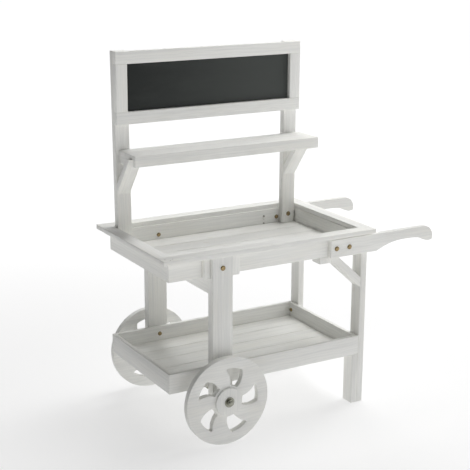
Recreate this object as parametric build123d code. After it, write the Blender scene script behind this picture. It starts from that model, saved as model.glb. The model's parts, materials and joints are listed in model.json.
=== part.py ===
from build123d import *
import math
import os

# A white painted wooden display cart: two planked trays on four legs, two wheels at the
# left end, two push handles at the right end, and a chalkboard and shelf on two posts.
# Millimetres. +Z up, Z = 0 on the floor, +X towards the handles, -Y is the front long side.
# X = 0 and Y = 0 are the middle of the overall box.

# ---- timber stock ----
board_t = 12.0
plank_t = 14.0
rim_t = 14.0
rim_w = 40.0
stout_t = 18.0

# ---- the two trays ----
tray_length = 660.0
tray_depth = 390.0
tray_height = 60.0
upper_tray_z = 496.0
lower_tray_z = 162.0
plank_pitch = 71.0
plank_gap = 2.0
rim_over_left = 29.0
rim_over_right = 30.0
rim_over_front = 30.5
rim_over_back = 35.0

# ---- handles ----
handle_reach = 239.0
handle_t = 18.0
handle_front_top = 550.0
handle_rear_top = 555.5
handle_rear_back = 12.0

# ---- legs ----
left_leg_w = 65.0
left_leg_t = 28.0
left_leg_foot_z = 94.0
left_leg_corner_r = 15.0
right_leg_w = 45.0
right_leg_t = 21.0
leg_from_left = 158.5
axle_off_leg = 2.5
cleat_t = 15.0
cleat_drop = 2.5
cleat_narrow_w = 20.0
cleat_wide_w = 30.0
cross_rail_h = 50.0
block_length = 40.0
block_height = 21.0
block_depth = 42.5
block_from_right = 112.0
brace_top_from_right = 92.0
brace_foot_z = 413.0
brace_t = 24.0

# ---- posts, shelf and chalkboard ----
post_w = 46.0
post_t = 22.0
post_top_z = 1100.0
left_post_clear = 0.7
right_post_clear = 4.0
left_post_lean = 6.0
board_frame_h = 215.0
board_frame_w = 37.0
slate_t = 5.0
shelf_top_z = 808.0
shelf_plank_t = 13.0
shelf_depth = 111.0
shelf_step_left = 8.0
shelf_over_right = 14.0
fascia_h = 34.0
shelf_joint_gap = 1.5
shelf_rail_h = 27.0
shelf_brace_w = 44.0
shelf_brace_t = 18.0
shelf_brace_foot_z = 672.0

# ---- wheels and axle ----
wheel_r = 133.5
wheel_t = 18.0
hub_disc_r = 42.0
hub_disc_t = 8.0
spoke_count = 5
opening_outer_r = 100.0
opening_inner_r = 48.0
opening_outer_from = 96.0
opening_outer_to = 62.0
opening_inner_from = 81.0
opening_inner_to = 51.0
opening_bulge = 7.0
opening_corner_r = 4.0
axle_r = 5.0
running_clearance = 0.07
side_clearance = 0.3
spacer_r = 10.0
spacer_length = 18.0
washer_r = 15.0
washer_t = 2.0
axle_nut_r = 10.0
axle_nut_length = 12.0
axle_nut_cap = 4.0
axle_nut_round = 7.0

# ---- joint bolts ----
bolt_r = 3.0
bolt_hole_r = 3.2
bolt_head_r = 7.5
bolt_head_h = 3.5
bolt_head_round = 2.8
cap_nut_r = 6.5
cap_nut_h = 3.6
cap_nut_round = 2.16
cap_nut_bore = 2.8
bolt_into_cap = 1.8
upper_bolt_above_foot = 28.0
lower_bolt_above_foot = 36.0
handle_bolt_from_top = 27.5
post_bolt_above_floor = 29.0

# ---- places worked out from the sizes above ----
overall_length = rim_over_left + tray_length + right_leg_t + handle_reach
tray_x0 = -overall_length / 2 + rim_over_left
tray_x1 = tray_x0 + tray_length
tray_y1 = tray_depth / 2
tray_y0 = -tray_y1
rim_z0 = upper_tray_z + tray_height
rim_x0 = tray_x0 - rim_over_left
rim_x1 = tray_x1 + rim_over_right
rim_y0 = tray_y0 - rim_over_front
rim_y1 = tray_y1 + rim_over_back
leg_x = tray_x0 + leg_from_left
leg_x0 = leg_x - left_leg_w / 2
leg_x1 = leg_x + left_leg_w / 2
axle_x = leg_x - axle_off_leg
post_y1 = tray_y1 - board_t
post_y0 = post_y1 - post_t
left_post_x0 = tray_x0 + board_t + left_post_clear
left_post_x1 = left_post_x0 + post_w
right_post_x1 = tray_x1 - board_t - right_post_clear
right_post_x0 = right_post_x1 - post_w
upper_floor_z = upper_tray_z + plank_t
brace_foot_x = tray_x1

parts = {}


def block(x0, x1, y0, y1, z0, z1):
    middle = ((x0 + x1) / 2, (y0 + y1) / 2, (z0 + z1) / 2)
    return Pos(*middle) * Box(x1 - x0, y1 - y0, z1 - z0)


def rod(x, y, z, radius, length, direction):
    """A round bar that starts at a point and runs along a direction."""
    plane = Plane(origin=(x, y, z), z_dir=direction)
    return plane * Cylinder(radius, length, align=(Align.CENTER, Align.CENTER, Align.MIN))


def tray(name, z0):
    z1 = z0 + tray_height
    inner_x0 = tray_x0 + board_t
    inner_x1 = tray_x1 - board_t
    inner_y0 = tray_y0 + board_t
    inner_y1 = tray_y1 - board_t
    parts[name + "_board_front"] = block(tray_x0, tray_x1, tray_y0, inner_y0, z0, z1)
    parts[name + "_board_back"] = block(tray_x0, tray_x1, inner_y1, tray_y1, z0, z1)
    parts[name + "_board_left"] = block(tray_x0, inner_x0, inner_y0, inner_y1, z0, z1)
    parts[name + "_board_right"] = block(inner_x1, tray_x1, inner_y0, inner_y1, z0, z1)
    edges = [inner_y0 - plank_gap / 2]
    edges += [plank_pitch * step for step in (-1.5, -0.5, 0.5, 1.5)]
    edges += [inner_y1 + plank_gap / 2]
    for number in range(5):
        y0 = edges[number] + plank_gap / 2
        y1 = edges[number + 1] - plank_gap / 2
        plank = block(inner_x0, inner_x1, y0, y1, z0, z0 + plank_t)
        parts[f"{name}_floor_plank_{number + 1}"] = plank


tray("upper_tray", upper_tray_z)
tray("lower_tray", lower_tray_z)

# Flat rim: long strips run right across, short strips fit between them.
rim_z1 = rim_z0 + rim_t
parts["rim_front"] = block(rim_x0, rim_x1, rim_y0, rim_y0 + rim_w, rim_z0, rim_z1)
parts["rim_back"] = block(rim_x0, rim_x1, rim_y1 - rim_w, rim_y1, rim_z0, rim_z1)
parts["rim_left"] = block(rim_x0, rim_x0 + rim_w, rim_y0 + rim_w, rim_y1 - rim_w, rim_z0, rim_z1)
parts["rim_right"] = block(rim_x1 - rim_w, rim_x1, rim_y0 + rim_w, rim_y1 - rim_w, rim_z0, rim_z1)


def left_leg(y0, y1):
    leg = block(leg_x0, leg_x1, y0, y1, left_leg_foot_z, rim_z0)
    foot_edges = leg.edges().filter_by(Axis.Y).group_by(Axis.Z)[0]
    return fillet(foot_edges, left_leg_corner_r)


def mirrored(shape):
    return mirror(shape, about=Plane.XZ)


leg_y0 = tray_y0 - left_leg_t
parts["leg_front_left"] = left_leg(leg_y0, tray_y0)
parts["leg_rear_left"] = mirrored(parts["leg_front_left"])

# Two cleats beside each left leg, one node for each pair.
cleat_y0 = tray_y0 - cleat_t
cleat_z0 = upper_tray_z - cleat_drop
narrow_cleat = block(leg_x0 - cleat_narrow_w, leg_x0, cleat_y0, tray_y0, cleat_z0, rim_z0)
wide_cleat = block(leg_x1, leg_x1 + cleat_wide_w, cleat_y0, tray_y0, cleat_z0, rim_z0)
parts["leg_cleats_front"] = Compound([narrow_cleat, wide_cleat])
parts["leg_cleats_rear"] = mirrored(parts["leg_cleats_front"])

cross_rail_z0 = upper_tray_z - cross_rail_h
parts["cross_rail"] = block(leg_x0, leg_x0 + stout_t, tray_y0, tray_y1, cross_rail_z0, upper_tray_z)

right_leg_x1 = tray_x1 + right_leg_t
right_leg_y1 = tray_y0 + right_leg_w
parts["leg_front_right"] = block(tray_x1, right_leg_x1, tray_y0, right_leg_y1, 0, rim_z0)
parts["leg_rear_right"] = mirrored(parts["leg_front_right"])

foot_x0 = tray_x1 - right_leg_t
parts["foot_block_front"] = block(foot_x0, tray_x1, tray_y0, right_leg_y1, 0, lower_tray_z)
parts["foot_block_rear"] = mirrored(parts["foot_block_front"])

block_x1 = tray_x1 - block_from_right
block_x0 = block_x1 - block_length
block_z0 = upper_tray_z - block_height
block_y1 = tray_y0 + block_depth
brace_block = block(block_x0, block_x1, tray_y0, block_y1, block_z0, upper_tray_z)
parts["brace_blocks"] = Compound([brace_block, mirrored(brace_block)])

# Diagonal brace from the right leg up to the tray, its upper end cut square to the block.
brace_top_x = tray_x1 - brace_top_from_right
brace_rise = upper_tray_z - brace_foot_z
brace_run = brace_foot_x - brace_top_x
brace_drop = brace_t * math.hypot(brace_rise, brace_run) / brace_run
brace_block_z = brace_foot_z - brace_drop + brace_rise / brace_run * (brace_foot_x - block_x1)
with BuildPart() as brace:
    with BuildSketch(Plane(origin=(0, tray_y0, 0), x_dir=(1, 0, 0), z_dir=(0, -1, 0))):
        with BuildLine():
            Polyline(
                (block_x1, upper_tray_z),
                (brace_top_x, upper_tray_z),
                (brace_foot_x, brace_foot_z),
                (brace_foot_x, brace_foot_z - brace_drop),
                (block_x1, brace_block_z),
                close=True,
            )
        make_face()
    extrude(amount=-right_leg_w)
parts["leg_brace_front"] = brace.part
parts["leg_brace_rear"] = mirrored(brace.part)

# ---- push handle: a straight root bolted to the tray, a thinner grip and a hooked end ----
handle_bolt_from_post = 3.0
handle_bolt_spacing = 46.0
handle_bolt_from_end = 20.0
handle_bolt_x1 = right_post_x0 + handle_bolt_from_post
handle_bolt_x0 = handle_bolt_x1 - handle_bolt_spacing
handle_left = handle_bolt_x0 - handle_bolt_from_end
handle_height = 55.0
grip_height = 31.0
root_past_tray = 44.0
throat_from_root = 46.0
throat_rise = 17.0
grip_past_tray = 149.0
hook_past_tray = 206.0
hook_mid_past_tray = 224.0
hook_low_past_tray = 243.0
grip_bow_from_hook = 28.0
grip_bow_drop = 0.5
hook_start_drop = 3.0
hook_mid_rise = 4.0
hook_low_drop = 1.5
tip_drop = 47.0
tip_r = 35.0
toe_r = 6.0
diagonal = math.sqrt(0.5)


def handle(y0, top, shift):
    left = handle_left - shift
    tip = overall_length / 2 - shift
    base = top - handle_height
    grip_base = top - grip_height
    tip_base = top - tip_drop
    root = (tray_x1 + root_past_tray - shift, base)
    throat = (root[0] + throat_from_root, base + throat_rise)
    grip_start = (tray_x1 + grip_past_tray - shift, grip_base)
    hook_start = (tray_x1 + hook_past_tray - shift, grip_base - hook_start_drop)
    grip_bow = (hook_start[0] - grip_bow_from_hook, grip_base - grip_bow_drop)
    hook_mid = (tray_x1 + hook_mid_past_tray - shift, tip_base + hook_mid_rise)
    hook_low = (tray_x1 + hook_low_past_tray - shift, tip_base - hook_low_drop)
    toe = (tip - toe_r, tip_base)
    toe_mid = (toe[0] + toe_r * diagonal, tip_base + toe_r - toe_r * diagonal)
    tip_mid = (tip - tip_r + tip_r * diagonal, top - tip_r + tip_r * diagonal)
    with BuildPart() as bar:
        with BuildSketch(Plane(origin=(0, y0, 0), x_dir=(1, 0, 0), z_dir=(0, -1, 0))):
            with BuildLine():
                Line((left, top), (left, base))
                Line((left, base), root)
                ThreePointArc(root, throat, grip_start)
                ThreePointArc(grip_start, grip_bow, hook_start)
                ThreePointArc(hook_start, hook_mid, hook_low)
                Line(hook_low, toe)
                ThreePointArc(toe, toe_mid, (tip, tip_base + toe_r))
                Line((tip, tip_base + toe_r), (tip, top - tip_r))
                ThreePointArc((tip, top - tip_r), tip_mid, (tip - tip_r, top))
                Line((tip - tip_r, top), (left, top))
            make_face()
        extrude(amount=-handle_t)
    return bar.part


parts["handle_front"] = handle(tray_y0 - handle_t, handle_front_top, 0.0)
parts["handle_rear"] = handle(tray_y1, handle_rear_top, handle_rear_back)

# ---- posts and chalkboard ----
left_post_height = post_top_z - upper_floor_z


def left_post_shift(z):
    """How far the leaning left post has moved to the left at a height."""
    return left_post_lean * (z - upper_floor_z) / left_post_height


with BuildPart() as left_post:
    with BuildSketch(Plane(origin=(0, post_y0, 0), x_dir=(1, 0, 0), z_dir=(0, -1, 0))):
        with BuildLine():
            Polyline(
                (left_post_x0, upper_floor_z),
                (left_post_x1, upper_floor_z),
                (left_post_x1 - left_post_lean, post_top_z),
                (left_post_x0 - left_post_lean, post_top_z),
                close=True,
            )
        make_face()
    extrude(amount=-post_t)
parts["post_left"] = left_post.part
parts["post_right"] = block(
    right_post_x0, right_post_x1, post_y0, post_y1, upper_floor_z, post_top_z)

frame_x0 = left_post_x0 - left_post_lean
frame_x1 = right_post_x1
frame_y0 = post_y0 - stout_t
frame_z0 = post_top_z - board_frame_h
frame_z1 = post_top_z
side_z0 = frame_z0 + board_frame_w
side_z1 = frame_z1 - board_frame_w
side_x0 = frame_x0 + board_frame_w
side_x1 = frame_x1 - board_frame_w
parts["board_frame_top"] = block(frame_x0, frame_x1, frame_y0, post_y0, side_z1, frame_z1)
parts["board_frame_bottom"] = block(frame_x0, frame_x1, frame_y0, post_y0, frame_z0, side_z0)
parts["board_frame_left"] = block(frame_x0, side_x0, frame_y0, post_y0, side_z0, side_z1)
parts["board_frame_right"] = block(side_x1, frame_x1, frame_y0, post_y0, side_z0, side_z1)
parts["slate_panel"] = block(side_x0, side_x1, post_y0 - slate_t, post_y0, side_z0, side_z1)

# ---- shelf in front of the posts, stepped in at the left and overhanging at the right ----
shelf_x0 = left_post_x0 + shelf_step_left
shelf_x1 = right_post_x1 + shelf_over_right
shelf_y0 = post_y0 - shelf_depth
fascia_y1 = shelf_y0 + stout_t
shelf_z0 = shelf_top_z - shelf_plank_t
shelf_joint_y = (fascia_y1 + post_y0) / 2
fascia_z0 = shelf_top_z - fascia_h
parts["shelf_fascia"] = block(shelf_x0, shelf_x1, shelf_y0, fascia_y1, fascia_z0, shelf_top_z)
parts["shelf_plank_front"] = block(
    shelf_x0, shelf_x1, fascia_y1, shelf_joint_y - shelf_joint_gap / 2, shelf_z0, shelf_top_z)
parts["shelf_plank_back"] = block(
    shelf_x0, shelf_x1, shelf_joint_y + shelf_joint_gap / 2, post_y0, shelf_z0, shelf_top_z)

# Brace and short rail under each end, drawn in the Y-Z plane.
shelf_brace_run = post_y0 - fascia_y1
shelf_brace_rise = shelf_z0 - shelf_brace_foot_z
shelf_brace_length = math.hypot(shelf_brace_run, shelf_brace_rise)
shelf_brace_up = shelf_brace_t * shelf_brace_length / shelf_brace_run
shelf_brace_back = shelf_brace_t * shelf_brace_length / shelf_brace_rise


def side_plate(x0, width, corners):
    with BuildPart() as plate:
        with BuildSketch(Plane(origin=(x0, 0, 0), x_dir=(0, 1, 0), z_dir=(1, 0, 0))):
            with BuildLine():
                Polyline(*corners, close=True)
            make_face()
        extrude(amount=width)
    return plate.part


def shelf_brace(x0):
    corners = [
        (post_y0, shelf_brace_foot_z),
        (fascia_y1, shelf_z0),
        (fascia_y1 + shelf_brace_back, shelf_z0),
        (post_y0, shelf_brace_foot_z + shelf_brace_up),
    ]
    return side_plate(x0, shelf_brace_w, corners)


def shelf_rail(x0):
    foot = shelf_z0 - shelf_rail_h
    slope = shelf_brace_run / shelf_brace_rise
    corners = [
        (fascia_y1 + shelf_brace_back, shelf_z0),
        (fascia_y1 + shelf_brace_back + shelf_rail_h * slope, foot),
        (post_y0, foot),
        (post_y0, shelf_z0),
    ]
    return side_plate(x0, stout_t, corners)


left_brace_x0 = left_post_x0 - left_post_shift(shelf_top_z)
right_brace_x0 = right_post_x1 - shelf_brace_w
rail_inset = (shelf_brace_w - stout_t) / 2
parts["shelf_brace_left"] = shelf_brace(left_brace_x0)
parts["shelf_brace_right"] = shelf_brace(right_brace_x0)
left_rail = shelf_rail(left_brace_x0 + rail_inset)
right_rail = shelf_rail(right_brace_x0 + rail_inset)
parts["shelf_rails"] = Compound([left_rail, right_rail])

# ---- wheels: a disc with five swept openings, and a round disc over the hub ----
wheel_y1 = leg_y0 - spacer_length
wheel_y0 = wheel_y1 - wheel_t
hub_y0 = wheel_y0 - hub_disc_t
bore_r = axle_r + running_clearance


def polar(radius, degrees):
    angle = math.radians(degrees)
    return (axle_x + radius * math.cos(angle), wheel_r + radius * math.sin(angle))


def swept_side(outer, inner):
    """Middle point of an opening's curved side, pushed out clockwise of its chord."""
    chord_x = outer[0] - inner[0]
    chord_z = outer[1] - inner[1]
    chord = math.hypot(chord_x, chord_z)
    mid_x = (outer[0] + inner[0]) / 2 + opening_bulge * chord_z / chord
    mid_z = (outer[1] + inner[1]) / 2 - opening_bulge * chord_x / chord
    return (mid_x, mid_z)


def wheel_opening(turn):
    outer_halfway = (opening_outer_from + opening_outer_to) / 2
    inner_halfway = (opening_inner_from + opening_inner_to) / 2
    outer_a = polar(opening_outer_r, turn + opening_outer_from)
    outer_mid = polar(opening_outer_r, turn + outer_halfway)
    outer_b = polar(opening_outer_r, turn + opening_outer_to)
    inner_b = polar(opening_inner_r, turn + opening_inner_to)
    inner_mid = polar(opening_inner_r, turn + inner_halfway)
    inner_a = polar(opening_inner_r, turn + opening_inner_from)
    with BuildPart() as cutter:
        with BuildSketch(Plane(origin=(0, wheel_y0, 0), x_dir=(1, 0, 0), z_dir=(0, -1, 0))) as face:
            with BuildLine():
                ThreePointArc(outer_a, outer_mid, outer_b)
                ThreePointArc(outer_b, swept_side(outer_b, inner_b), inner_b)
                ThreePointArc(inner_b, inner_mid, inner_a)
                ThreePointArc(inner_a, swept_side(outer_a, inner_a), outer_a)
            make_face()
            fillet(face.vertices(), opening_corner_r)
        extrude(amount=-wheel_t)
    return cutter.part


wheel = rod(axle_x, wheel_y0, wheel_r, wheel_r, wheel_t, (0, 1, 0))
wheel -= rod(axle_x, wheel_y0, wheel_r, bore_r, wheel_t, (0, 1, 0))
for number in range(spoke_count):
    wheel -= wheel_opening(number * 360 / spoke_count)
hub_disc = rod(axle_x, hub_y0, wheel_r, hub_disc_r, hub_disc_t, (0, 1, 0))
hub_disc -= rod(axle_x, hub_y0, wheel_r, bore_r, hub_disc_t, (0, 1, 0))

# The rear wheel is the same piece turned half round about the upright through the axle.
half_turn = Pos(axle_x, 0, 0) * Rot(0, 0, 180) * Pos(-axle_x, 0, 0)
parts["wheel_front"] = Pos(0, -side_clearance, 0) * wheel
parts["hub_disc_front"] = Pos(0, -side_clearance, 0) * hub_disc
parts["wheel_rear"] = half_turn * parts["wheel_front"]
parts["hub_disc_rear"] = half_turn * parts["hub_disc_front"]

# ---- axle, spacers, washers and nuts ----
washer_y0 = hub_y0 - 2 * side_clearance - washer_t
axle_nut_y0 = washer_y0 - axle_nut_length
axle_end_y = axle_nut_y0 + axle_nut_cap
parts["axle"] = rod(axle_x, axle_end_y, wheel_r, axle_r, -2 * axle_end_y, (0, 1, 0))


def both_ends(shape):
    return Compound([shape, half_turn * shape])


spacer = rod(axle_x, wheel_y1, wheel_r, spacer_r, spacer_length, (0, 1, 0))
spacer -= rod(axle_x, wheel_y1, wheel_r, axle_r, spacer_length, (0, 1, 0))
parts["axle_spacers"] = both_ends(spacer)

washer = rod(axle_x, washer_y0, wheel_r, washer_r, washer_t, (0, 1, 0))
washer -= rod(axle_x, washer_y0, wheel_r, axle_r, washer_t, (0, 1, 0))
parts["axle_washers"] = both_ends(washer)

axle_nut = rod(axle_x, axle_nut_y0, wheel_r, axle_nut_r, axle_nut_length, (0, 1, 0))
axle_nut = fillet(axle_nut.edges().group_by(Axis.Y)[0], axle_nut_round)
axle_nut -= rod(axle_x, axle_end_y, wheel_r, axle_r, axle_nut_length, (0, 1, 0))
parts["axle_nuts"] = both_ends(axle_nut)

# ---- bolts: domed head outside, domed cap nut inside ----
upper_bolt_z = upper_tray_z + upper_bolt_above_foot
lower_bolt_z = lower_tray_z + lower_bolt_above_foot
right_bolt_y = right_leg_y1 - right_leg_w / 2
front_inner_y = tray_y0 + board_t
handle_front_bolt_z = handle_front_top - handle_bolt_from_top
handle_rear_bolt_z = handle_rear_top - handle_bolt_from_top
post_bolt_z = upper_floor_z + post_bolt_above_floor
stacks = []
for leg_bolt_z in (upper_bolt_z, lower_bolt_z):
    stacks.append(((leg_x, leg_y0, leg_bolt_z), (leg_x, front_inner_y, leg_bolt_z)))
    stacks.append(((leg_x, -leg_y0, leg_bolt_z), (leg_x, -front_inner_y, leg_bolt_z)))
    for side in (-1, 1):
        outer = (right_leg_x1, side * right_bolt_y, leg_bolt_z)
        inner = (tray_x1 - board_t, side * right_bolt_y, leg_bolt_z)
        stacks.append((outer, inner))
for x in (handle_bolt_x0, handle_bolt_x1):
    front = (x, tray_y0 - handle_t, handle_front_bolt_z)
    stacks.append((front, (x, front_inner_y, handle_front_bolt_z)))
    rear_x = x - handle_rear_back
    rear = (rear_x, tray_y1 + handle_t, handle_rear_bolt_z)
    stacks.append((rear, (rear_x, -front_inner_y, handle_rear_bolt_z)))
left_post_x = (left_post_x0 + left_post_x1) / 2
right_post_x = (right_post_x0 + right_post_x1) / 2
right_stack_y1 = tray_y1 + handle_t
stacks.append(((left_post_x, post_y0, post_bolt_z), (left_post_x, tray_y1, post_bolt_z)))
stacks.append(((right_post_x, post_y0, post_bolt_z), (right_post_x, right_stack_y1, post_bolt_z)))

heads = []
caps = []
holes = []
for outer, inner in stacks:
    start = Vector(*outer)
    finish = Vector(*inner)
    inward = (finish - start).normalized()
    outward = inward * -1
    grip = (finish - start).length
    shank_length = grip + bolt_into_cap
    head = rod(*outer, bolt_head_r, bolt_head_h, tuple(outward))
    crown = head.edges().sort_by_distance(tuple(start + outward * bolt_head_h))[0:1]
    head = fillet(crown, bolt_head_round)
    heads.append(head + rod(*outer, bolt_r, shank_length, tuple(inward)))
    cap = rod(*inner, cap_nut_r, cap_nut_h, tuple(inward))
    cap_edge = cap.edges().sort_by_distance(tuple(finish + inward * cap_nut_h))[0:1]
    cap = fillet(cap_edge, cap_nut_round)
    caps.append(cap - rod(*inner, bolt_r, cap_nut_bore, tuple(inward)))
    holes.append(rod(*outer, bolt_hole_r, grip, tuple(inward)))
parts["bolts"] = Compound(heads)
parts["bolt_cap_nuts"] = Compound(caps)

axle_hole = rod(axle_x, leg_y0, wheel_r, axle_r, -2 * leg_y0, (0, 1, 0))
drilled = [name for name in parts if name.startswith(("upper_tray_board", "lower_tray_board"))]
drilled += ["leg_front_left", "leg_rear_left", "leg_front_right", "leg_rear_right"]
drilled += ["handle_front", "handle_rear", "post_left", "post_right"]
for name in drilled:
    for hole in holes + [axle_hole]:
        near = parts[name].bounding_box()
        far = hole.bounding_box()
        apart = (
            near.max.X < far.min.X or far.max.X < near.min.X
            or near.max.Y < far.min.Y or far.max.Y < near.min.Y
            or near.max.Z < far.min.Z or far.max.Z < near.min.Z
        )
        if not apart:
            parts[name] = parts[name] - hole

os.makedirs("parts", exist_ok=True)
for name, shape in parts.items():
    export_step(shape, f"parts/{name}.step")
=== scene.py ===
import json
import math
import random

import bmesh
import bpy
from mathutils import Matrix, Vector


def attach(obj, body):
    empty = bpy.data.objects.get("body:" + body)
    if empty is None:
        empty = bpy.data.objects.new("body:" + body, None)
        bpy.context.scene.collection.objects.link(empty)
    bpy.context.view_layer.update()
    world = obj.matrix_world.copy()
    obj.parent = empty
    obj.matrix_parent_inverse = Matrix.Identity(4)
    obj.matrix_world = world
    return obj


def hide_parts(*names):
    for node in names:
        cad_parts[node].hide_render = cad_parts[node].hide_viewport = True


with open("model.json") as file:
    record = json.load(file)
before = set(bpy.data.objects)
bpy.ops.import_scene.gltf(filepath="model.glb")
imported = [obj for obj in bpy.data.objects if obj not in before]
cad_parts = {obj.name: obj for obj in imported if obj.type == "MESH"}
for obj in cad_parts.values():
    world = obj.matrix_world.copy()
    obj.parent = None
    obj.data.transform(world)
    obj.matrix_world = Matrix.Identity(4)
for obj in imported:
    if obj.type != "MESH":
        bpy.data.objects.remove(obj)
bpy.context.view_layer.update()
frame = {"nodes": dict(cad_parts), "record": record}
nodes = frame["nodes"]

# ---------------------------------------------------------------- shader helpers


class Wire:
    """A node's output. Arithmetic on wires adds Math nodes to their tree."""

    def __init__(self, tree, socket):
        self.tree = tree
        self.socket = socket

    def math(self, operation, *values):
        return add_node(self.tree, "ShaderNodeMath", {"operation": operation}, *values)

    def __add__(self, other):
        return self.math("ADD", self, other)

    __radd__ = __add__

    def __sub__(self, other):
        return self.math("SUBTRACT", self, other)

    def __rsub__(self, other):
        return self.math("SUBTRACT", other, self)

    def __mul__(self, other):
        return self.math("MULTIPLY", self, other)

    __rmul__ = __mul__


def feed(tree, socket, value):
    """Links a wire to the socket, or sets the socket to a plain value."""
    if isinstance(value, Wire):
        tree.links.new(value.socket, socket)
    else:
        socket.default_value = value


def add_node(tree, kind, settings, *values, output=0, **named):
    """A node of that kind: its settings first, then its sockets by order or by name."""
    node = tree.nodes.new(kind)
    for key, value in settings.items():
        setattr(node, key, value)
    for number, value in enumerate(values):
        feed(tree, node.inputs[number], value)
    for name, value in named.items():
        feed(tree, node.inputs[name.replace("_", " ")], value)
    return Wire(tree, node.outputs[output])


# Where the Mix node keeps its sockets when it mixes colours.
MIX_FACTOR, MIX_FIRST_COLOUR, MIX_SECOND_COLOUR = 0, 6, 7
MIX_COLOUR_OUT = 2


class Finish:
    """A material and its shader tree."""

    def __init__(self, name):
        self.material = bpy.data.materials.new(name)
        self.material.use_nodes = True
        self.tree = self.material.node_tree
        self.shader = next(node for node in self.tree.nodes if node.type == "BSDF_PRINCIPLED")

    def node(self, kind, settings, *values, output=0, **named):
        return add_node(self.tree, kind, settings, *values, output=output, **named)

    def attribute(self, name, output):
        """One of the attributes that finish_piece gives a piece."""
        return self.node("ShaderNodeAttribute", {"attribute_name": name}, output=output)

    def object_place(self):
        return self.node("ShaderNodeTexCoord", {}, output="Object")

    def set(self, **named):
        for name, value in named.items():
            feed(self.tree, self.shader.inputs[name.replace("_", " ")], value)

    def noise(self, place, scale, detail=4.0, rough=0.55):
        """Blotches from 0 to 1. Scale 1 leaves the size to the place's own stretch."""
        return self.node("ShaderNodeTexNoise", {}, output="Fac", Vector=place, Scale=scale,
                         Detail=detail, Roughness=rough)

    def stretch(self, place, scale):
        """A place multiplied along each axis: a small number draws a pattern out."""
        return self.node("ShaderNodeMapping", {}, Vector=place, Scale=scale)

    def band(self, value, low, high):
        """0 below low, 1 above high, smooth between."""
        settings = {"interpolation_type": "SMOOTHSTEP"}
        return self.node("ShaderNodeMapRange", settings, value, low, high, 0.0, 1.0)

    def blend(self, amount, first, second):
        """The first colour at 0, the second at 1."""
        node = self.tree.nodes.new("ShaderNodeMix")
        node.data_type = "RGBA"
        feed(self.tree, node.inputs[MIX_FACTOR], amount)
        feed(self.tree, node.inputs[MIX_FIRST_COLOUR], first)
        feed(self.tree, node.inputs[MIX_SECOND_COLOUR], second)
        return Wire(self.tree, node.outputs[MIX_COLOUR_OUT])

    def bump(self, height, strength, distance):
        """Relief from a height of 0 to 1, distance metres deep."""
        self.set(Normal=self.node("ShaderNodeBump", {}, Height=height, Strength=strength,
                                  Distance=distance))


def rgba(r, g, b):
    return (r, g, b, 1.0)


# ---------------------------------------------------------------- finishes

# Small nail heads that show through the paint: where they are and how large.
NAIL_MARKS = (
    ((0.0955, 0.183, 0.5346), 0.0050),
    ((0.0955, 0.183, 0.5105), 0.0045),
    ((-0.452, -0.222, 0.570), 0.0022),
    ((-0.440, -0.212, 0.570), 0.0022),
    ((-0.462, -0.208, 0.570), 0.0022),
)
RUSTY_NAIL = rgba(0.17, 0.15, 0.12)

# What the wood under the paint does to the paint's tone.
WARM_SHADE = (0.965, 0.95, 0.915)
GREY_SHADE = (0.86, 0.865, 0.87)
KNOT_SHADE = (0.84, 0.8, 0.72)
WORN_SHADE = (0.84, 0.82, 0.76)

MILLIMETRES = 1000.0
# The paint is thin within this many millimetres of an edge: not at all, and fully.
WORN_FROM_TO = (2.2, 0.9)


def shaded(tone, shade):
    """The tone with each of its parts turned down by the shade's."""
    return rgba(*(part * factor for part, factor in zip(tone, shade)))


def white_paint(name, tone):
    """Satin white paint brushed along the grain of planed softwood."""
    paint = Finish(name)
    grain = paint.attribute("grain", "Vector")
    edge = paint.attribute("edge", "Fac")

    broad = paint.noise(paint.stretch(grain, (2.2, 62.0, 62.0)), 1.0, 4.0, 0.6)
    streaks = paint.noise(paint.stretch(grain, (4.0, 190.0, 190.0)), 1.0, 5.0, 0.6)
    fine = paint.noise(paint.stretch(grain, (14.0, 900.0, 900.0)), 1.0, 3.0, 0.6)
    cloud = paint.noise(paint.stretch(grain, (5.0, 14.0, 14.0)), 1.0, 3.0, 0.5)
    rings = paint.node("ShaderNodeTexWave", {"wave_type": "BANDS", "bands_direction": "Y"},
                       output="Fac", Vector=paint.stretch(grain, (0.35, 1.0, 1.6)), Scale=34.0,
                       Distortion=7.0, Detail=2.0, Detail_Scale=1.1)
    cells = paint.node("ShaderNodeTexVoronoi", {"feature": "F1"}, output="Distance",
                       Vector=paint.stretch(grain, (4.2, 11.0, 11.0)), Scale=1.0)
    knots = 1.0 - paint.band(cells, 0.025, 0.07)
    worn = paint.band(edge * MILLIMETRES + fine * 2.2, *WORN_FROM_TO)

    warm = shaded(tone, WARM_SHADE)
    grey = shaded(tone, GREY_SHADE)
    colour = paint.blend(paint.band(cloud, 0.35, 0.75) * 0.55, rgba(*tone), warm)
    colour = paint.blend(paint.band(broad, 0.46, 0.70) * 0.6, colour, grey)
    colour = paint.blend(paint.band(streaks, 0.5, 0.72) * 0.6, colour, grey)
    colour = paint.blend(paint.band(rings, 0.6, 1.0) * 0.3, colour, grey)
    colour = paint.blend(knots * 0.4, colour, shaded(tone, KNOT_SHADE))
    colour = paint.blend(worn * 0.45, colour, shaded(tone, WORN_SHADE))
    place = paint.object_place()
    for spot, reach in NAIL_MARKS:
        away = paint.node("ShaderNodeVectorMath", {"operation": "DISTANCE"}, place, spot,
                          output="Value")
        mark = 1.0 - paint.band(away, reach * 0.5, reach)
        colour = paint.blend(mark * 0.8, colour, RUSTY_NAIL)
    paint.set(Base_Color=colour, Roughness=0.42 + streaks * 0.16 + worn * 0.1)
    paint.bump(broad * 0.7 + streaks * 0.6 + fine * 0.25 + rings * 0.3 - knots * 0.3, 0.45, 0.0008)
    return paint.material


SLATE_DARK = rgba(0.010, 0.013, 0.012)
SLATE_PALE = rgba(0.058, 0.064, 0.060)
CHALK_DUST = rgba(0.046, 0.050, 0.048)
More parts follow.
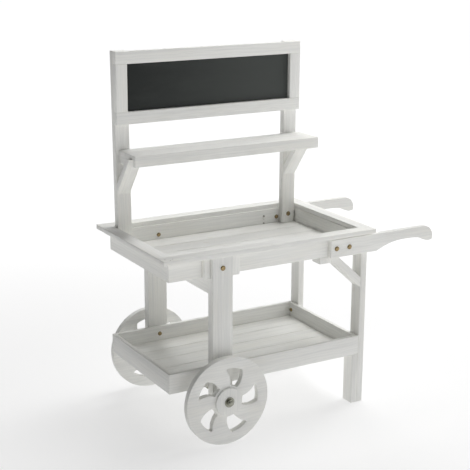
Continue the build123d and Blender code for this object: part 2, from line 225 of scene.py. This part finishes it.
# The board is darkest at its left end and grows paler between these places along it.
SLATE_PALES_FROM_TO = (-0.42, 0.26)


def chalkboard(name):
    """Matt board paint with old chalk dust wiped along it."""
    slate = Finish(name)
    grain = slate.attribute("grain", "Vector")
    dust = slate.noise(slate.stretch(grain, (7.0, 18.0, 18.0)), 1.0, 5.0, 0.62)
    tooth = slate.noise(grain, 1400.0, 2.0)
    wipe = slate.noise(slate.stretch(grain, (2.0, 42.0, 42.0)), 1.0, 3.0)
    across = slate.node("ShaderNodeSeparateXYZ", {}, slate.object_place(), output="X")
    paler = slate.band(across + dust * 0.12 + wipe * 0.05, *SLATE_PALES_FROM_TO)
    colour = slate.blend(paler, SLATE_DARK, SLATE_PALE)
    colour = slate.blend(slate.band(dust, 0.4, 0.8) * 0.35, colour, CHALK_DUST)
    slate.set(Base_Color=colour, Roughness=0.52 + dust * 0.14, Specular_IOR_Level=0.3)
    slate.bump(tooth, 0.15, 0.0002)
    return slate.material


def plated(name, tone, stain, rough):
    """Zinc plate with a faint blotch and fine turning marks."""
    metal = Finish(name)
    place = metal.object_place()
    blotch = metal.noise(place, 260.0, 3.0)
    scratch = metal.noise(metal.stretch(place, (900.0, 160.0, 2400.0)), 1.0, 2.0)
    colour = metal.blend(metal.band(blotch, 0.4, 0.75), rgba(*tone), rgba(*stain))
    metal.set(Base_Color=colour, Metallic=1.0, Roughness=rough + blotch * 0.12)
    metal.bump(scratch, 0.12, 0.0001)
    return metal.material


PAINT_TONE = (0.93, 0.93, 0.902)
WHEEL_TONE = tuple(0.99 * part for part in PAINT_TONE)
finishes = {
    "white_paint": white_paint("brushed_white_paint", PAINT_TONE),
    "wheel_paint": white_paint("wheel_white_paint", WHEEL_TONE),
    "slate": chalkboard("chalkboard_face"),
    "brassy_zinc": plated("yellow_zinc", (0.36, 0.275, 0.15), (0.17, 0.125, 0.065), 0.16),
    "bright_zinc": plated("bright_zinc", (0.36, 0.36, 0.31), (0.25, 0.25, 0.20), 0.24),
}
body_with = {node: body for body, held in frame["record"]["behaviour"]["bodies"].items()
             for node in held}
slot_of = {item["node"]: item["material_slot"] for item in frame["record"]["subparts"]}

# ---------------------------------------------------------------- mesh helpers

# Lengths are in metres.
# SOFT_EDGE rounds the wood's edges and SLATE_EDGE the thin panel's, FOOT_ROUND the left legs'
# lower corners, WELD joins loose triangles, and LEVEL is how far from level a vertex may be.
SOFT_EDGE = 0.0012
SLATE_EDGE = 0.0006
EDGE_SEGMENTS = 3
FOOT_ROUND = 0.015
FOOT_SEGMENTS = 8
WELD = 0.00001
LEVEL = 0.0001
SHARP_FROM = math.radians(32)
SHADED_SHARP_FROM = math.radians(35)
NEARLY_FLAT = math.radians(0.6)
# Each solid takes its grain from its own place in the pattern, up to this far away.
GRAIN_SHIFT = 9
chance = random.Random(7)


def islands(bm):
    """The vertices of each separate solid, in the order of their lowest corners."""
    left = set(bm.verts)
    groups = []
    while left:
        stack = [left.pop()]
        group = set(stack)
        while stack:
            for edge in stack.pop().link_edges:
                for vert in edge.verts:
                    if vert in left:
                        left.remove(vert)
                        group.add(vert)
                        stack.append(vert)
        groups.append(group)
    return sorted(groups, key=lambda group: tuple(corners_of(group)[0]))


def merged_copy(node):
    """The CAD node's triangles, joined into closed solids."""
    bm = bmesh.new()
    bm.from_mesh(nodes[node].data)
    bmesh.ops.remove_doubles(bm, verts=bm.verts, dist=WELD)
    return bm


def corners_of(verts):
    """The lowest and the highest corner of the box round the vertices."""
    low = Vector(min(vert.co[i] for vert in verts) for i in range(3))
    high = Vector(max(vert.co[i] for vert in verts) for i in range(3))
    return low, high


def solids_of(node):
    """Each solid's lowest and highest corner, in the order of the lowest ones."""
    bm = merged_copy(node)
    found = [corners_of(group) for group in islands(bm)]
    bm.free()
    return found


def round_edges(bm, edges, radius, segments):
    """A rounded bevel of that radius along the edges."""
    bmesh.ops.bevel(bm, geom=edges, offset=radius, offset_type="OFFSET", segments=segments,
                    profile=0.5, affect="EDGES", clamp_overlap=False, material=-1)


def soften(bm, radius):
    """Rounds every sharp edge."""
    sharp = [edge for edge in bm.edges
             if len(edge.link_faces) == 2 and edge.calc_face_angle() > SHARP_FROM]
    round_edges(bm, sharp, radius, EDGE_SEGMENTS)


def grain_axes(size):
    """Axes with the grain first, along the solid's longest side."""
    order = sorted(range(3), key=lambda i: -size[i])
    return Matrix([[1.0 if i == axis else 0.0 for i in range(3)] for axis in order])


def finish_piece(bm, name, node, turn=None):
    """Turns the mesh into a piece that stands for a CAD node.

    Its grain attribute is a place with the wood's length first, and its edge attribute the
    distance to the second nearest side. Both follow the solid, and turn gives the grain of a
    piece that stands at a slope.
    """
    mesh = bpy.data.meshes.new(name)
    bm.normal_update()
    bm.to_mesh(mesh)
    piece = bpy.data.objects.new(name, mesh)
    bpy.context.scene.collection.objects.link(piece)
    mesh.shade_smooth()
    mesh.set_sharp_from_angle(angle=SHADED_SHARP_FROM)
    mesh.attributes.new("grain", "FLOAT_VECTOR", "POINT")
    mesh.attributes.new("edge", "FLOAT", "POINT")
    grain = mesh.attributes["grain"]
    edge = mesh.attributes["edge"]
    for group in islands(bm):
        low, high = corners_of(group)
        axes = grain_axes(high - low) if turn is None else turn
        middle = (low + high) / 2
        shift = Vector([chance.uniform(-GRAIN_SHIFT, GRAIN_SHIFT) for _ in range(3)])
        for vert in group:
            grain.data[vert.index].vector = axes @ (vert.co - middle) + shift
            away = sorted(min(vert.co[i] - low[i], high[i] - vert.co[i]) for i in range(3))
            edge.data[vert.index].value = away[1]
    bm.free()
    mesh.materials.append(finishes[slot_of[node]])
    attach(piece, body_with[node])
    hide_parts(node)
    return piece


def add_block(bm, low, high):
    """A block between two corners, ready to be softened. Returns its vertices."""
    made = bmesh.ops.create_cube(bm, size=1.0)["verts"]
    bmesh.ops.scale(bm, vec=high - low, verts=made)
    bmesh.ops.translate(bm, vec=(low + high) / 2, verts=made)
    return made


def timber(node, radius):
    """Square sawn pieces: a softened block for each solid of the node."""
    bm = bmesh.new()
    for low, high in solids_of(node):
        add_block(bm, low, high)
    soften(bm, radius)
    finish_piece(bm, node + "_wood", node)


def shaped(node, turn):
    """A cut outline: the CAD solid's own shape with its edges softened."""
    bm = merged_copy(node)
    bmesh.ops.dissolve_limit(bm, angle_limit=NEARLY_FLAT, verts=bm.verts, edges=bm.edges)
    soften(bm, SOFT_EDGE)
    finish_piece(bm, node + "_wood", node, turn)


def left_leg(node):
    """An upright with round lower corners."""
    bm = bmesh.new()
    low, high = solids_of(node)[0]
    add_block(bm, low, high)
    foot = [edge for edge in bm.edges
            if all(abs(vert.co.z - low.z) < LEVEL for vert in edge.verts)
            and abs(edge.verts[0].co.y - edge.verts[1].co.y) > LEVEL]
    round_edges(bm, foot, FOOT_ROUND, FOOT_SEGMENTS)
    soften(bm, SOFT_EDGE)
    finish_piece(bm, node + "_wood", node)


def leaning_post(node):
    """An upright whose ends are level and whose sides lean."""
    bm = merged_copy(node)
    low, high = corners_of(bm.verts)
    foot = [vert.co.x for vert in bm.verts if vert.co.z < low.z + LEVEL]
    head = [vert.co.x for vert in bm.verts if vert.co.z > high.z - LEVEL]
    bm.clear()
    for vert in add_block(bm, low, high):
        ends = foot if vert.co.z < (low.z + high.z) / 2 else head
        vert.co.x = min(ends) if vert.co.x < (low.x + high.x) / 2 else max(ends)
    soften(bm, SOFT_EDGE)
    finish_piece(bm, node + "_wood", node)


def slope_axes(slope):
    """Axes with the grain along the slope."""
    along = Vector(slope).normalized()
    across = Vector((0, 1, 0)) if abs(along.y) < 0.5 else Vector((1, 0, 0))
    side = along.cross(across).normalized()
    return Matrix((along, side, along.cross(side)))


# ---------------------------------------------------------------- the cart's pieces

SQUARE_SAWN = [node for node in nodes if node.startswith((
    "upper_tray", "lower_tray", "rim_", "leg_cleats", "cross_rail", "foot_block",
    "brace_blocks", "board_frame", "slate", "shelf_plank", "shelf_fascia"))]
SQUARE_SAWN += ["leg_front_right", "leg_rear_right", "post_right"]
for node in sorted(SQUARE_SAWN):
    timber(node, SLATE_EDGE if node == "slate_panel" else SOFT_EDGE)
for node in ("leg_front_left", "leg_rear_left"):
    left_leg(node)
leaning_post("post_left")

leg_slope = slope_axes((1, 0, -0.92))
shelf_slope = slope_axes((0, -0.6, 0.8))
for node, turn in (
    ("leg_brace_front", leg_slope), ("leg_brace_rear", leg_slope),
    ("shelf_brace_left", shelf_slope), ("shelf_brace_right", shelf_slope),
    ("shelf_rails", None), ("handle_front", None), ("handle_rear", None),
    ("wheel_front", None), ("wheel_rear", None), ("hub_disc_front", None),
    ("hub_disc_rear", None),
):
    shaped(node, turn)

# One of the rear handle's cap nuts, between these places along the cart, was painted over
# with the board. PAINTED is its material's number on the piece.
PAINTED_NUT_FROM, PAINTED_NUT_TO = 0.08, 0.12
PAINTED = 1
nuts = merged_copy("bolt_cap_nuts")
for nut in islands(nuts):
    low, high = corners_of(nut)
    if low.x > PAINTED_NUT_FROM and high.x < PAINTED_NUT_TO and low.y > 0:
        for face in {face for vert in nut for face in vert.link_faces}:
            face.material_index = PAINTED
cap_nuts = finish_piece(nuts, "bolt_cap_nuts_domed", "bolt_cap_nuts")
cap_nuts.data.materials.append(finishes["white_paint"])

# These keep their CAD shape.
for node in ("axle", "axle_spacers", "axle_washers", "axle_nuts", "bolts"):
    mesh = nodes[node].data
    mesh.materials.clear()
    mesh.materials.append(finishes[slot_of[node]])

# ---------------------------------------------------------------- floor, light, camera

# The paper floor glows with painted light: its emission grows brighter away from the cart, so that
# it fades to plain white, and its glow close to the cart also lights the cart from below.
GLOW_CLOSE = 0.60
GLOW_NEAR = 0.14
GLOW_FAR = 0.36
NEAR_BAND = (0.8, 2.4)
FAR_BAND = (2.0, 7.0)
PAPER_GREY = rgba(0.38, 0.38, 0.38)
FLOOR_HALF = 40.0
# The air beyond the floor looks pale, but adds little light of its own.
BACKDROP_SEEN = 0.97
AIR_LIGHT = 0.03

# Soft boxes: azimuth and elevation in degrees, and power in watts.
LIGHTS = (
    ("key_right", 55, 22, 16),
    ("front_low", 8, 14, 22),
    ("front_high", 40, 45, 12),
    ("right_low", 105, 20, 44),
    ("right_high", 100, 45, 28),
    ("overhead", 110, 72, 100),
    ("back_high", 160, 45, 52),
    ("left_fill", -60, 50, 3),
)
LIGHT_SIDE = 2.0
LIGHT_AWAY = 4.5
LIGHT_AIM = Vector((0, 0, 0.5))


def studio_floor():
    """A wide sheet of paper under the cart, whose emission is painted glow."""
    bm = bmesh.new()
    bmesh.ops.create_grid(bm, x_segments=1, y_segments=1, size=FLOOR_HALF)
    mesh = bpy.data.meshes.new("studio_floor")
    bm.to_mesh(mesh)
    bm.free()
    floor = bpy.data.objects.new("studio_floor", mesh)
    bpy.context.scene.collection.objects.link(floor)
    paper = Finish("glowing_paper")
    away = paper.node("ShaderNodeVectorMath", {"operation": "LENGTH"}, paper.object_place(),
                      output="Value")
    # Painted glow: the emission starts at GLOW_CLOSE by the cart and rises in two bands farther
    # out.
    glow = paper.band(away, *NEAR_BAND) * GLOW_NEAR + paper.band(away, *FAR_BAND) * GLOW_FAR
    glow = paper.blend(glow + GLOW_CLOSE, rgba(0, 0, 0), rgba(1, 1, 1))
    paper.set(Base_Color=PAPER_GREY, Roughness=0.9, Emission_Color=glow, Emission_Strength=1.0)
    mesh.materials.append(paper.material)


def soft_box(name, azimuth, elevation, power):
    """A square soft light aimed at the cart. Azimuth 0 is in front, 90 at the right."""
    turn, lift = math.radians(azimuth), math.radians(elevation)
    towards = Vector((math.sin(turn) * math.cos(lift), -math.cos(turn) * math.cos(lift),
                      math.sin(lift)))
    light = bpy.data.lights.new(name, "AREA")
    light.shape = "SQUARE"
    light.size = LIGHT_SIDE
    light.energy = power
    lamp = bpy.data.objects.new(name, light)
    lamp.location = LIGHT_AIM + towards * LIGHT_AWAY
    lamp.rotation_euler = (-towards).to_track_quat("-Z", "Y").to_euler()
    bpy.context.scene.collection.objects.link(lamp)


studio_floor()
world = bpy.data.worlds.new("studio_air")
bpy.context.scene.world = world
world.use_nodes = True
backdrop = world.node_tree.nodes["Background"]
feed(world.node_tree, backdrop.inputs["Color"], rgba(1, 1, 1))
seen = add_node(world.node_tree, "ShaderNodeLightPath", {}, output="Is Camera Ray")
feed(world.node_tree, backdrop.inputs["Strength"], seen * BACKDROP_SEEN + AIR_LIGHT)
for light in LIGHTS:
    soft_box(*light)

# The camera stands to the front left and looks down on the cart.
CAMERA_PLACE = (-1.846405, -2.970508, 1.496331)
YAW, PITCH, ROLL = 0.526765, -0.270251, 0.005721
camera_data = bpy.data.cameras.new("camera")
camera_data.sensor_width = 36.0
camera_data.lens = 89.861
camera_data.clip_end = 200.0
camera = bpy.data.objects.new("camera", camera_data)
bpy.context.scene.collection.objects.link(camera)
bpy.context.scene.camera = camera
ahead = Vector((math.sin(YAW) * math.cos(PITCH), math.cos(YAW) * math.cos(PITCH),
                math.sin(PITCH)))
right = Vector((math.cos(YAW), -math.sin(YAW), 0))
up = right.cross(ahead)
rolled_right = math.cos(ROLL) * right + math.sin(ROLL) * up
rolled_up = math.cos(ROLL) * up - math.sin(ROLL) * right
turned = Matrix((rolled_right, rolled_up, -ahead)).transposed().to_4x4()
camera.matrix_world = Matrix.Translation(CAMERA_PLACE) @ turned
bpy.context.scene.view_settings.view_transform = "Standard"
